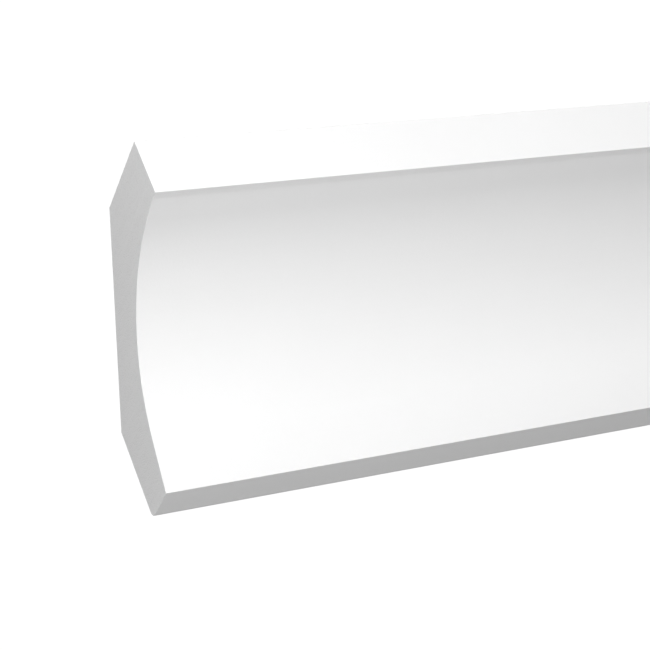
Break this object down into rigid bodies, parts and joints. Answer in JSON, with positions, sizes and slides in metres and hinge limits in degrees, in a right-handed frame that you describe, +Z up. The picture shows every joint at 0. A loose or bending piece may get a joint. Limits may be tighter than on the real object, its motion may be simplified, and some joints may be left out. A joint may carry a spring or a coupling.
{
  "type": "crown moulding length",
  "caption": "Square-cut length of plain white cove crown moulding, with an upright nose, a concave face and flat beds for the wall and the ceiling.",
  "frame": {"origin": "middle of the flat that beds on the wall, half way along the length", "axes": "+X along the length, to the right as seen from the room; +Y into the wall; +Z up to the ceiling"},
  "size_m": [1, 0.1, 0.1016],
  "materials": {
    "primed_white": "matte white factory primer on rigid moulding foam"
  },
  "bodies": {
    "root": {"cove_crown_moulding": "primed_white"}
  },
  "joints": []
}
